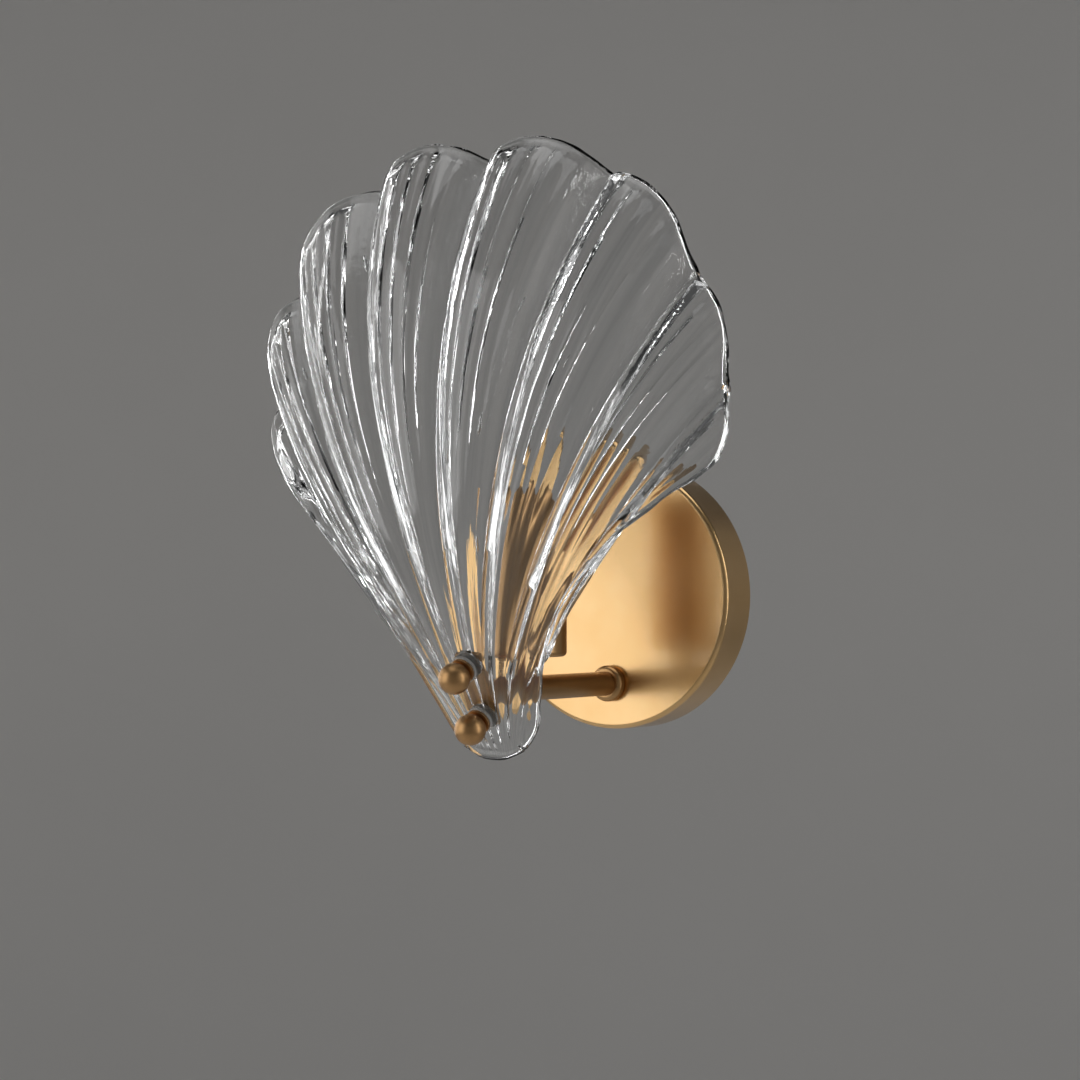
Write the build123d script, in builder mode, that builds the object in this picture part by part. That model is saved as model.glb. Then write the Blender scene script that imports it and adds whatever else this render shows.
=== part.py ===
from build123d import *

import os
from math import cos, hypot, radians, sin, sqrt, tan

# Shell wall sconce: a round brass canopy on the wall carries one horizontal arm. A lamp cup stands on
# the arm, and a leaning plate at its end holds a fluted glass shell by two studs and two ball nuts.
# Origin: centre of the canopy's open back, on the wall. +Z up, -Y out of the wall, +X to the right.

# ---------------------------------------------------------------- driving dimensions, mm and degrees
canopy_diameter = 120.0
canopy_depth = 20.6
canopy_wall = 1.2
canopy_edge = 2.2               # outside radius of the rolled front edge

strap_width = 20.0
strap_thickness = 1.5
strap_leg = 13.0                # reach of each bent leg out of the wall
strap_play = 0.5                # between a leg and the inside of the canopy
slot_spacing = 60.0
slot_width = 4.6
slot_length = 12.0

rim_screw_shank = 4.0
rim_screw_reach = 9.0           # wall to screw axis
rim_screw_length = 8.0
rim_screw_head = 6.8
rim_screw_sink = 0.1            # flat head below the canopy's rim, which curves away from it

screw_slot = 0.9                # width of a slot in a screw's head
screw_slot_depth = 0.8
screw_crown = 0.8               # rounding of a head, as a share of its height

earth_height = 16.0
earth_thread = 4.0
earth_head = 7.5
earth_head_height = 2.6
earth_washer = 0.8
earth_washer_edge = 1.0         # washer past the screw's head
block_width = 21.0
block_height = 15.0
block_depth = 12.0
block_drop = 4.0
block_corner = 1.0
block_thread = 3.0
block_head = 5.7
block_head_height = 2.0
clamp_screw = 3.8
clamp_spacing_x = 12.0
clamp_spacing_z = 8.0
wire_bore = 3.2

arm_drop = 39.5
arm_diameter = 10.8
arm_wall = 1.4
collar_diameter = 16.2
collar_length = 5.4
nipple_bore = 5.0
nipple_in_arm = 9.0
nipple_inside = 8.0             # nipple standing inside the canopy
nut_flats = 12.0
nut_height = 3.0
lock_washer = 0.9
lock_washer_edge = 1.0          # washer past the flats of the arm's nut
cup_washer_edge = 0.5           # and past the flats of the cup's nut
screw_play = 0.15               # round a screw or a threaded tube that only passes through
bush_wall = 0.7
bush_flange = 1.5
bush_lip = 1.0                  # flange past the nipple
bush_depth = 4.0

cup_reach = 85.0
cup_diameter = 30.0
cup_height = 72.0
cup_bottom = -25.9
cup_wall = 1.2
cup_edge = 2.2
stem_diameter = 8.0
stem_bore = 4.0
stem_flange = 12.0
stem_flange_height = 1.6
stem_edge = 0.5
stem_thread_length = 7.0
bracket_width = 12.0
bracket_sheet = 0.9
bracket_leg = 13.0
rivet_diameter = 2.4
rivet_depth = 2.5
rivet_head = 4.0
rivet_head_height = 0.8

holder_width = 19.0
holder_depth = 13.0
holder_height = 23.0
holder_edge = 1.5
holder_lift = 2.0               # holder above the end of the stem
lamp_socket = 4.0               # depth that the lamp's base sits in the holder
pin_spacing = 9.0
pin_diameter = 1.5
pin_length = 7.0
pin_play = 0.08
pin_room = 1.0                  # below the ends of the pins
lamp_diameter = 13.0
lamp_height = 33.0              # above the holder
lamp_base_height = 9.0
lamp_play = 0.3
lamp_gap = 0.4                  # lamp's collar above the holder
lamp_tab_width = 13.0
lamp_tab_depth = 6.0
lamp_tab_edge = 1.2
lamp_glass_step = 0.7

plate_reach = 126.0             # wall to the centre of the plate's front
plate_drop = 38.1
plate_lean = 28.4               # the studs point this far below level
plate_width = 13.0
plate_length = 34.0
plate_thickness = 2.5
plate_corner = 1.5
stud_spacing = 24.7
stud_diameter = 4.0
stud_head = 6.2
stud_head_height = 1.2

back_washer = 1.0
seat_wall = 4.3                 # glass left between its two ground seats
soft_washer = 1.4
face_washer = 1.2
face_washer_diameter = 11.0
washer_diameter = 12.0
sleeve_diameter = 6.0
sleeve_play = 0.1
ball_diameter = 13.4
ball_flat = 5.8                 # ball centre to its flat
ball_thread_depth = 8.5
stud_in_ball = 7.5
ball_play = 0.05

# The glass shell. Its ribs fan out from one point and end in scallops.
glass_wall = 5.0
spot_depth = 0.5                # ground off the front at each stud
spot_margin = 0.6               # ground seat past the washer, on the radius
fan_bottom = -55.0              # height of the point that the ribs fan out from
fan_spread = 19.0               # how wide the fan already is there
bow_radius = 500.0              # how the straight neck bows over into the dome
bow_length = 528.0              # and how far up it bows over harder
side_radius_neck = 21.0         # side-to-side radius at the fan's point
side_radius_top = 192.5         # and the one it grows towards
side_radius_spread = 113.0      # spread of the fan where it has grown most of the way
side_radius_limit = 0.8         # past this share of the radius the shell runs straight on
rib_rise = 16.5                 # of a crest above its valleys, at the rim
rib_start = 36.0                # the ribs rise from nothing this far up the fan
rim_radius = 240.0              # from the fan's point to the top of the rim
valley_angles = (0.0, 14.0, 27.7, 38.3, 47.0, 54.0)
notch_radii = (239.6, 238.6, 213.6, 182.0)
crest_radii = (250.0, 238.0, 208.5, 172.0)
rib_profile = ((0.0, 0.0), (0.2, 0.8), (0.5, 1.0), (0.8, 0.8))
corner = (108.5, 52.0)
side_points = ((93.3, 40.7), (72.5, 24.1), (49.6, -0.8), (36.3, -22.1), (26.8, -43.8), (21.4, -57.0))
corner_direction = (-0.8, -0.6)
tongue_tip = -69.4
shell_reach = 200.0             # past the front of the shell
section_heights = (-76, -60, -44, -26, -4, 24, 56, 90, 124, 156, 184, 206)

# ---------------------------------------------------------------- places worked out from them
canopy_radius = canopy_diameter / 2
arm_radius = arm_diameter / 2
nipple_radius = arm_radius - arm_wall
canopy_inside = canopy_depth - canopy_wall          # reach of the canopy's inner face
nipple_end = canopy_inside - nipple_inside
leg_face = sqrt((canopy_radius - canopy_wall - strap_play) ** 2 - (strap_width / 2) ** 2)
cup_radius = cup_diameter / 2
cup_top = cup_bottom + cup_height
cup_floor = cup_bottom + cup_wall
stem_radius = stem_diameter / 2
stem_top = cup_floor + stem_thread_length
holder_bottom = stem_top + holder_lift
holder_top = holder_bottom + holder_height
lamp_seat = holder_top - lamp_socket
rivet_height = holder_bottom + bracket_leg / 2
stud_radius = stud_diameter / 2
washer_bore = stud_diameter + 2 * screw_play

# Stack along each stud, measured out of the plate's front face.
seat_back = back_washer
seat_front = seat_back + seat_wall
face_washer_back = seat_front + soft_washer
ball_back = face_washer_back + face_washer
ball_centre = ball_back + ball_flat
glass_front = seat_front + spot_depth               # skin of the shell on its centre line

lean_out = cos(radians(plate_lean))
lean_down = sin(radians(plate_lean))
neck_reach = plate_reach + glass_front * lean_out
neck_height = -plate_drop - glass_front * lean_down

plate_plane = Plane(
    origin=(0, -plate_reach, -plate_drop), x_dir=(1, 0, 0), z_dir=(0, -lean_out, -lean_down)
)
studs = {"upper": stud_spacing / 2, "lower": -stud_spacing / 2}


def wall_at(reach, x=0.0, height=0.0):
    """Plane facing out of the wall, with its origin this far from it."""
    return Plane(origin=(x, -reach, height), x_dir=(1, 0, 0), z_dir=(0, -1, 0))


def stud_at(offset, out=0.0):
    """Plane square to one stud, this far out of the plate's front face."""
    centre = plate_plane.from_local_coords((0, offset, out))
    return Plane(origin=centre, x_dir=(1, 0, 0), z_dir=plate_plane.z_dir)


def screw(seat, shank, length, head_diameter, head_height):
    """Slotted dome-headed screw: the head stands on the seat plane and the shank goes in behind it."""
    with BuildPart() as piece:
        with BuildSketch(seat):
            Circle(head_diameter / 2)
        extrude(amount=head_height)
        fillet(edges().sort_by(Axis(seat.origin, seat.z_dir))[-1], head_height * screw_crown)
        with BuildSketch(seat.offset(head_height)):
            Rectangle(head_diameter, screw_slot)
        extrude(amount=-screw_slot_depth, mode=Mode.SUBTRACT)
        with BuildSketch(seat):
            Circle(shank / 2)
        extrude(amount=-length)
    return piece.part


def rim_seat(side):
    """Plane of a rim screw's flat head, just inside the canopy's outer face."""
    origin = (0, -rim_screw_reach, side * (canopy_radius - rim_screw_sink))
    return Plane(origin=origin, x_dir=(1, 0, 0), z_dir=(0, 0, side))


def countersink(seat):
    """Cone that a rim screw's head fills, from its seat plane in to the shank."""
    with BuildPart() as piece:
        with BuildSketch(seat):
            Circle(rim_screw_head / 2)
        with BuildSketch(seat.offset((rim_screw_shank - rim_screw_head) / 2)):
            Circle(rim_screw_shank / 2)
        loft()
    return piece.part


def ring(plane, outer, inner, thickness):
    """Plain ring standing on a plane."""
    with BuildPart() as piece:
        with BuildSketch(plane):
            Circle(outer / 2)
            Circle(inner / 2, mode=Mode.SUBTRACT)
        extrude(amount=thickness)
    return piece.part


def hex_nut(plane, flats, bore, height):
    """Plain hexagon nut standing on a plane."""
    with BuildPart() as piece:
        with BuildSketch(plane):
            RegularPolygon(flats / 2, 6, major_radius=False)
            Circle(bore / 2, mode=Mode.SUBTRACT)
        extrude(amount=height)
    return piece.part


def write(piece, name):
    piece.part.label = name
    export_step(piece.part, f"parts/{name}.step")


os.makedirs("parts", exist_ok=True)

# ---------------------------------------------------------------- strap and canopy
with BuildPart() as wall_strap:
    with BuildSketch(Plane.YZ):
        with BuildLine():
            Polyline(
                (-strap_leg, leg_face),
                (0, leg_face),
                (0, -leg_face),
                (-strap_leg, -leg_face),
                (-strap_leg, -leg_face + strap_thickness),
                (-strap_thickness, -leg_face + strap_thickness),
                (-strap_thickness, leg_face - strap_thickness),
                (-strap_leg, leg_face - strap_thickness),
                close=True,
            )
        make_face()
        bends = vertices().group_by(Axis.X)
        fillet(bends[-1], strap_thickness * 1.6)
        fillet(bends[-2], strap_thickness * 0.6)
    extrude(amount=strap_width / 2, both=True)
    with BuildSketch(wall_at(0)):
        with Locations((0, slot_spacing / 2), (0, -slot_spacing / 2)):
            SlotOverall(slot_length, slot_width, rotation=90)
        with Locations((0, earth_height)):
            Circle(earth_thread / 2)
        with Locations((0, -block_drop)):
            Circle(block_thread / 2)
    extrude(amount=strap_thickness, mode=Mode.SUBTRACT)
    with BuildSketch(Plane.XY):
        with Locations((0, -rim_screw_reach)):
            Circle(rim_screw_shank / 2)
    extrude(amount=canopy_radius, both=True, mode=Mode.SUBTRACT)
write(wall_strap, "wall_strap")

with BuildPart() as canopy:
    with BuildSketch(wall_at(0)):
        Circle(canopy_radius)
    extrude(amount=canopy_depth)
    fillet(edges().filter_by(GeomType.CIRCLE).sort_by(Axis.Y)[0], canopy_edge)
    offset(amount=-canopy_wall, openings=faces().sort_by(Axis.Y)[-1])
    with BuildSketch(wall_at(canopy_depth, height=-arm_drop)):
        Circle(nipple_radius + screw_play)
    extrude(amount=-canopy_wall, mode=Mode.SUBTRACT)
    with BuildSketch(Plane.XY):
        with Locations((0, -rim_screw_reach)):
            Circle(rim_screw_shank / 2 + screw_play)
    extrude(amount=canopy_radius, both=True, mode=Mode.SUBTRACT)
    for side in (1, -1):
        add(countersink(rim_seat(side)), mode=Mode.SUBTRACT)
        with BuildSketch(rim_seat(side)):
            Circle(rim_screw_head / 2)
        extrude(amount=rim_screw_head, mode=Mode.SUBTRACT)
write(canopy, "canopy")

with BuildPart() as canopy_screws:
    for side in (1, -1):
        add(countersink(rim_seat(side)))
        with BuildSketch(rim_seat(side)):
            Circle(rim_screw_shank / 2)
        extrude(amount=-rim_screw_length)
        with BuildSketch(rim_seat(side)):
            Rectangle(rim_screw_head, screw_slot)
        extrude(amount=-screw_slot_depth, mode=Mode.SUBTRACT)
write(canopy_screws, "canopy_screws")

# ---------------------------------------------------------------- earth and terminals on the strap
with BuildPart() as earth_clamp:
    with BuildSketch(wall_at(strap_thickness, height=earth_height)):
        Circle(earth_head / 2 + earth_washer_edge)
        Circle(earth_thread / 2, mode=Mode.SUBTRACT)
    extrude(amount=earth_washer)
write(earth_clamp, "earth_clamp")

with BuildPart() as earth_screw:
    seat = wall_at(strap_thickness + earth_washer, height=earth_height)
    add(screw(seat, earth_thread, strap_thickness + earth_washer, earth_head, earth_head_height))
write(earth_screw, "earth_screw")

block_front = strap_thickness + block_depth
wire_reach = strap_thickness + block_depth * 0.4
well_floor = wire_reach + wire_bore / 2
clamp_places = GridLocations(clamp_spacing_x, clamp_spacing_z, 2, 2)

with BuildPart() as terminal_block:
    with BuildSketch(wall_at(strap_thickness, height=-block_drop)):
        RectangleRounded(block_width, block_height, block_corner)
    extrude(amount=block_depth)
    with BuildSketch(wall_at(well_floor - wire_bore / 4, height=-block_drop)):
        with clamp_places:
            Circle(clamp_screw / 2)
    extrude(amount=block_depth, mode=Mode.SUBTRACT)
    with BuildSketch(Plane.XY.offset(-block_drop)):
        with Locations((-clamp_spacing_x / 2, -wire_reach), (clamp_spacing_x / 2, -wire_reach)):
            Circle(wire_bore / 2)
    extrude(amount=block_height, both=True, mode=Mode.SUBTRACT)
    with BuildSketch(wall_at(strap_thickness, height=-block_drop)):
        Circle(block_thread / 2)
    extrude(amount=block_depth, mode=Mode.SUBTRACT)
write(terminal_block, "terminal_block")

with BuildPart() as terminal_screws:
    with BuildSketch(wall_at(well_floor, height=-block_drop)):
        with clamp_places:
            Circle(clamp_screw / 2)
    extrude(amount=clamp_screw)
    with BuildSketch(wall_at(well_floor + clamp_screw, height=-block_drop)):
        with clamp_places:
            Rectangle(clamp_screw, screw_slot)
    extrude(amount=-screw_slot_depth, mode=Mode.SUBTRACT)
write(terminal_screws, "terminal_screws")

with BuildPart() as block_screw:
    seat = wall_at(block_front, height=-block_drop)
    add(screw(seat, block_thread, block_front, block_head, block_head_height))
write(block_screw, "block_screw")

# ---------------------------------------------------------------- arm
plate_back = plate_plane.offset(-plate_thickness)

with BuildPart() as arm_tube:
    with BuildSketch(wall_at(canopy_depth, height=-arm_drop)):
        Circle(arm_radius)
        Circle(nipple_radius, mode=Mode.SUBTRACT)
    extrude(amount=plate_reach)
    split(bisect_by=plate_back, keep=Keep.BOTTOM)
    with BuildSketch(Plane.XY.offset(-arm_drop)):
        with Locations((0, -cup_reach)):
            Circle(stem_bore / 2)
    extrude(amount=arm_diameter, mode=Mode.SUBTRACT)
write(arm_tube, "arm_tube")

with BuildPart() as arm_collar:
    with BuildSketch(Plane.YZ):
        with Locations((-canopy_depth, -arm_drop + arm_radius)):
            Rectangle(collar_length, collar_diameter / 2 - arm_radius, align=(Align.MAX, Align.MIN))
        fillet(vertices().group_by(Axis.Y)[-1], collar_length * 0.42)
    revolve(axis=Axis((0, 0, -arm_drop), (0, 1, 0)))
write(arm_collar, "arm_collar")

with BuildPart() as arm_nipple:
    nipple_length = nipple_inside + canopy_wall + nipple_in_arm
    add(ring(wall_at(nipple_end, height=-arm_drop), 2 * nipple_radius, nipple_bore, nipple_length))
write(arm_nipple, "arm_nipple")

with BuildPart() as arm_lock_washer:
    seat = wall_at(canopy_inside - lock_washer, height=-arm_drop)
    add(ring(seat, nut_flats + 2 * lock_washer_edge, 2 * nipple_radius, lock_washer))
write(arm_lock_washer, "arm_lock_washer")

with BuildPart() as arm_lock_nut:
    seat = wall_at(canopy_inside - lock_washer - nut_height, height=-arm_drop)
    add(hex_nut(seat, nut_flats, 2 * nipple_radius, nut_height))
write(arm_lock_nut, "arm_lock_nut")

with BuildPart() as cable_bush:
    seat = wall_at(nipple_end, height=-arm_drop)
    add(ring(seat, 2 * (nipple_radius + bush_lip), nipple_bore - 2 * bush_wall, -bush_flange))
    add(ring(seat, nipple_bore, nipple_bore - 2 * bush_wall, bush_depth))
    fillet(edges().filter_by(GeomType.CIRCLE).sort_by(Axis.Y)[-2:], bush_wall * 0.5)
write(cable_bush, "cable_bush")

# ---------------------------------------------------------------- lamp cup and its fittings
def level(height):
    """Level plane centred on the lamp cup."""
    return Plane(origin=(0, -cup_reach, height))


def holder_side(side, out):
    """Plane facing sideways out of the lamp holder, this far from its side."""
    origin = (side * (holder_width / 2 + out), -cup_reach, rivet_height)
    return Plane(origin=origin, x_dir=(0, 1, 0), z_dir=(side, 0, 0))


with BuildPart() as cup_stem:
    with BuildSketch(level(-arm_drop)):
        Circle(stem_radius)
    extrude(amount=stem_top + arm_drop)
    with BuildSketch(level(cup_bottom)):
        Circle(stem_flange / 2)
    extrude(amount=-stem_flange_height)
    fillet(edges().group_by(Axis.Z)[-1], stem_edge)
    with BuildSketch(wall_at(0, height=-arm_drop)):
        Circle(arm_radius)
    extrude(amount=plate_reach, mode=Mode.SUBTRACT)
    with BuildSketch(level(-arm_drop)):
        Circle(stem_bore / 2)
    extrude(amount=stem_top + arm_drop, mode=Mode.SUBTRACT)
write(cup_stem, "cup_stem")

with BuildPart() as lamp_cup:
    with BuildSketch(level(cup_bottom)):
        Circle(cup_radius)
    extrude(amount=cup_height)
    fillet(edges().group_by(Axis.Z)[0], cup_edge)
    offset(amount=-cup_wall, openings=faces().sort_by(Axis.Z)[-1])
    with BuildSketch(level(cup_bottom)):
        Circle(stem_radius + screw_play)
    extrude(amount=cup_wall, mode=Mode.SUBTRACT)
write(lamp_cup, "lamp_cup")

bracket_span = holder_width + 2 * bracket_sheet
bracket_height = holder_bottom + bracket_leg - cup_floor

with BuildPart() as holder_bracket:
    with BuildSketch(Plane.XZ.offset(cup_reach)):
        with Locations((0, cup_floor)):
            Rectangle(bracket_span, bracket_height, align=(Align.CENTER, Align.MIN))
        with Locations((0, cup_floor + bracket_sheet)):
            Rectangle(holder_width, bracket_height, align=(Align.CENTER, Align.MIN), mode=Mode.SUBTRACT)
    extrude(amount=bracket_width / 2, both=True)
    with BuildSketch(level(cup_floor)):
        Circle(stem_radius)
    extrude(amount=bracket_sheet, mode=Mode.SUBTRACT)
    with BuildSketch(Plane.YZ):
        with Locations((-cup_reach, rivet_height)):
            Circle(rivet_diameter / 2)
    extrude(amount=bracket_span, both=True, mode=Mode.SUBTRACT)
write(holder_bracket, "holder_bracket")

with BuildPart() as cup_lock_washer:
    seat = level(cup_floor + bracket_sheet)
    add(ring(seat, nut_flats + 2 * cup_washer_edge, stem_diameter, lock_washer))
write(cup_lock_washer, "cup_lock_washer")

with BuildPart() as cup_lock_nut:
    add(hex_nut(level(cup_floor + bracket_sheet + lock_washer), nut_flats, stem_diameter, nut_height))
write(cup_lock_nut, "cup_lock_nut")

with BuildPart() as lamp_holder:
    with BuildSketch(level(holder_bottom)):
        RectangleRounded(holder_width, holder_depth, holder_edge)
    extrude(amount=holder_height)
    with BuildSketch(level(lamp_seat)):
        RectangleRounded(
            lamp_tab_width + 2 * lamp_play, lamp_tab_depth + 2 * lamp_play, lamp_tab_edge + lamp_play
        )
    extrude(amount=lamp_socket, mode=Mode.SUBTRACT)
    with BuildSketch(level(lamp_seat)):
        with GridLocations(pin_spacing, 0, 2, 1):
            Circle(pin_diameter / 2 + pin_play)
    extrude(amount=-(pin_length + pin_room), mode=Mode.SUBTRACT)
    for side in (1, -1):
        with BuildSketch(holder_side(side, 0)):
            Circle(rivet_diameter / 2)
        extrude(amount=-rivet_depth, mode=Mode.SUBTRACT)
write(lamp_holder, "lamp_holder")

with BuildPart() as holder_rivets:
    for side in (1, -1):
        with BuildSketch(holder_side(side, bracket_sheet)):
            Circle(rivet_head / 2)
        extrude(amount=rivet_head_height)
        with BuildSketch(holder_side(side, bracket_sheet)):
            Circle(rivet_diameter / 2)
        extrude(amount=-(bracket_sheet + rivet_depth))
write(holder_rivets, "holder_rivets")

# ---------------------------------------------------------------- lamp, which pulls up out of its holder
base_top = holder_top + lamp_gap + lamp_base_height

with BuildPart() as lamp_base:
    with BuildSketch(level(lamp_seat)):
        RectangleRounded(lamp_tab_width, lamp_tab_depth, lamp_tab_edge)
    extrude(amount=lamp_socket + lamp_gap)
    with BuildSketch(level(holder_top + lamp_gap)):
        Circle(lamp_diameter / 2)
    extrude(amount=lamp_base_height)
write(lamp_base, "lamp_base")

with BuildPart() as lamp_glass:
    with BuildSketch(level(base_top)):
        Circle(lamp_diameter / 2 - lamp_glass_step)
    extrude(amount=holder_top + lamp_height - base_top)
    fillet(edges().group_by(Axis.Z)[-1], (lamp_diameter / 2 - lamp_glass_step) * 0.9)
write(lamp_glass, "lamp_glass")

with BuildPart() as lamp_pins:
    with BuildSketch(level(lamp_seat)):
        with GridLocations(pin_spacing, 0, 2, 1):
            Circle(pin_diameter / 2)
    extrude(amount=-pin_length)
write(lamp_pins, "lamp_pins")

# ---------------------------------------------------------------- leaning plate, studs and washers
with BuildPart() as shell_plate:
    with BuildSketch(plate_plane):
        RectangleRounded(plate_width, plate_length, plate_corner)
    extrude(amount=-plate_thickness)
    for offset_along in studs.values():
        with BuildSketch(stud_at(offset_along)):
            Circle(stud_radius)
        extrude(amount=-plate_thickness, mode=Mode.SUBTRACT)
        with BuildSketch(stud_at(offset_along, -plate_thickness)):
            Circle(stud_head / 2)
        extrude(amount=stud_head_height, mode=Mode.SUBTRACT)
write(shell_plate, "shell_plate")

for place, offset_along in studs.items():
    with BuildPart() as shell_stud:
        with BuildSketch(stud_at(offset_along, -plate_thickness)):
            Circle(stud_radius)
        extrude(amount=plate_thickness + ball_back + stud_in_ball)
        with BuildSketch(stud_at(offset_along, -plate_thickness)):
            Circle(stud_head / 2)
        extrude(amount=stud_head_height)
    write(shell_stud, f"shell_stud_{place}")

    with BuildPart() as glass_sleeve:
        add(ring(stud_at(offset_along), washer_diameter, washer_bore, back_washer))
        add(ring(stud_at(offset_along, seat_back), sleeve_diameter, washer_bore, seat_wall))
    write(glass_sleeve, f"glass_sleeve_{place}")

    with BuildPart() as soft_ring:
        add(ring(stud_at(offset_along, seat_front), washer_diameter, washer_bore, soft_washer))
    write(soft_ring, f"soft_washer_{place}")

    with BuildPart() as face_ring:
        add(ring(stud_at(offset_along, face_washer_back), face_washer_diameter, washer_bore, face_washer))
    write(face_ring, f"face_washer_{place}")

    with BuildPart() as ball_nut:
        with Locations(stud_at(offset_along, ball_centre)):
            Sphere(ball_diameter / 2)
        split(bisect_by=stud_at(offset_along, ball_back), keep=Keep.TOP)
        with BuildSketch(stud_at(offset_along, ball_back)):
            Circle(stud_radius + ball_play)
        extrude(amount=ball_thread_depth, mode=Mode.SUBTRACT)
    write(ball_nut, f"ball_nut_{place}")


# ---------------------------------------------------------------- glass shell
def fan_width(height):
    """Spread of the fan at a height: it grows with the distance from the fan's point but never closes."""
    rise = height - fan_bottom
    return (rise + hypot(rise, 2 * fan_spread)) / 2


def spine(height):
    """Reach of the shell's front on its centre line: a straight neck that bows over into the dome."""
    rise = height - neck_height
    bow = max(0.0, rise)
    drop = bow**2 / bow_radius + bow**4 / bow_length**3
    return neck_reach + rise * tan(radians(plate_lean)) - drop


def dome(x, height):
    """Reach of the shell's front without its ribs: round from side to side, and straight past its edges."""
    spread = fan_width(height)
    grown = spread / (spread**4 + side_radius_spread**4) ** 0.25
    radius = hypot(side_radius_top * grown, side_radius_neck)
    inside = min(abs(x), side_radius_limit * radius)
    root = sqrt(radius**2 - inside**2)
    return spine(height) - (radius - root) - (abs(x) - inside) * inside / root


def valley_depth(x, height):
    """Depth of the valleys between the ribs, which grows from nothing at the neck to the rim."""
    from_fan = hypot(x, fan_width(height))
    return rib_rise * max(0.0, from_fan - rib_start) / (rim_radius - rib_start)


def rib_lines():
    """Fan angle and share of the full rise for every line that the ribs' facets meet in, left to right."""
    right = []
    for low, high in zip(valley_angles, valley_angles[1:]):
        right += [(low + share * (high - low), rise) for share, rise in rib_profile]
    right.append((valley_angles[-1], 0.0))
    return [(-angle, rise) for angle, rise in reversed(right[1:])] + right


def section(height):
    """Outline of the shell cut level at a height: its front from left to right and its back again."""
    front, back = [], []
    for angle, rise in rib_lines():
        x = fan_width(height) * tan(radians(angle))
        reach = dome(x, height) - valley_depth(x, height) * (1 - rise)
        slope_x = (dome(x + 1, height) - dome(x - 1, height)) / 2
        slope_z = (dome(x, height + 1) - dome(x, height - 1)) / 2
        front.append((x, -reach))
        back.append((x, glass_wall * sqrt(1 + slope_x**2 + slope_z**2) - reach))
    return front + back[::-1]


def on_fan(radius, angle):
    return (radius * sin(radians(angle)), fan_bottom + radius * cos(radians(angle)))


notches = [on_fan(radius, angle) for radius, angle in zip(notch_radii, valley_angles)] + [corner]
crest_angles = [(low + high) / 2 for low, high in zip(valley_angles, valley_angles[1:])]
crests = [on_fan(radius, angle) for radius, angle in zip(crest_radii, crest_angles)]

with BuildPart() as shell_glass:
    for height in section_heights:
        with BuildSketch(Plane.XY.offset(height)):
            with BuildLine():
                Polyline(*section(height), close=True)
            make_face()
    loft()
    with BuildSketch(Plane.XZ):
        with BuildLine():
            for start, crest, end in zip(notches, crests, notches[1:]):
                ThreePointArc(start, crest, end)
            Spline(corner, *side_points, (0, tongue_tip), tangents=(corner_direction, (-1, 0)))
            mirror(about=Plane.YZ)
        make_face()
    extrude(amount=shell_reach, mode=Mode.INTERSECT)
    for offset_along in studs.values():
        with BuildSketch(stud_at(offset_along, seat_front)):
            Circle(washer_diameter / 2 + spot_margin)
        extrude(amount=glass_wall, mode=Mode.SUBTRACT)
        with BuildSketch(stud_at(offset_along, seat_back)):
            Circle(washer_diameter / 2 + spot_margin)
        extrude(amount=-glass_wall, mode=Mode.SUBTRACT)
        with BuildSketch(stud_at(offset_along, seat_back)):
            Circle(sleeve_diameter / 2 + sleeve_play)
        extrude(amount=seat_wall, mode=Mode.SUBTRACT)
write(shell_glass, "shell_glass")
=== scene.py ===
from math import atan, atan2, cos, degrees, hypot, pi, radians, sin, sqrt, tan

import bpy
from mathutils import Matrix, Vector, noise
from mathutils.kdtree import KDTree


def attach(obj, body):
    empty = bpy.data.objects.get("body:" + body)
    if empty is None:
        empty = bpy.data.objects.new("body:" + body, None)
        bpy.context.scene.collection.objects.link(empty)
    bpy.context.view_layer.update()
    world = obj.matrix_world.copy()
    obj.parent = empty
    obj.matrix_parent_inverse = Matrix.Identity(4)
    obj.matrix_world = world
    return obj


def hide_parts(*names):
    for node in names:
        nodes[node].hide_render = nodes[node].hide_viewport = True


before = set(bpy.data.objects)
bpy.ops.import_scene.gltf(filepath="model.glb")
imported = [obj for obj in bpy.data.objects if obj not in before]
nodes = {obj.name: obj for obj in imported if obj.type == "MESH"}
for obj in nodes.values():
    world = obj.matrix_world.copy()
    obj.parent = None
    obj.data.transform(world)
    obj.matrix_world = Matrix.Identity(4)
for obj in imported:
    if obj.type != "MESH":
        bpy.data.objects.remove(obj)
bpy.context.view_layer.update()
bpy.ops.object.select_all(action="DESELECT")

MM = 0.001

# ---------------------------------------------------------------- sizes, mm and degrees, as in the solids
cup_reach = 85.0
plate_reach = 126.0
plate_drop = 38.1
plate_lean = 28.4
stud_spacing = 24.7
seat_back = 1.0
seat_front = 5.3
seat_radius = 6.6
hole_radius = 3.1
glass_front = 5.8

fan_bottom = -55.0
fan_spread = 19.0
bow_radius = 500.0
bow_length = 528.0
side_radius_neck = 21.0
side_radius_top = 192.5
side_radius_spread = 113.0
side_radius_limit = 0.8
rib_rise = 16.5
rib_start = 36.0
rim_radius = 240.0
valley_angles = (0.0, 14.0, 27.7, 38.3, 47.0)
notch_radii = (239.6, 238.6, 213.6, 182.0)
crest_radii = (250.0, 238.0, 208.5, 172.0)
corner = (108.5, 52.0)
side_points = ((93.3, 40.7), (72.5, 24.1), (49.6, -0.8), (36.3, -22.1), (26.8, -43.8), (21.4, -57.0))
tongue_tip = -69.4
glass_wall = 5.0

lamp_radius = 5.8
lamp_foot = 16.7
lamp_top = 40.3

neck_reach = plate_reach + glass_front * cos(radians(plate_lean))
neck_height = -plate_drop - glass_front * sin(radians(plate_lean))

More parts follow.
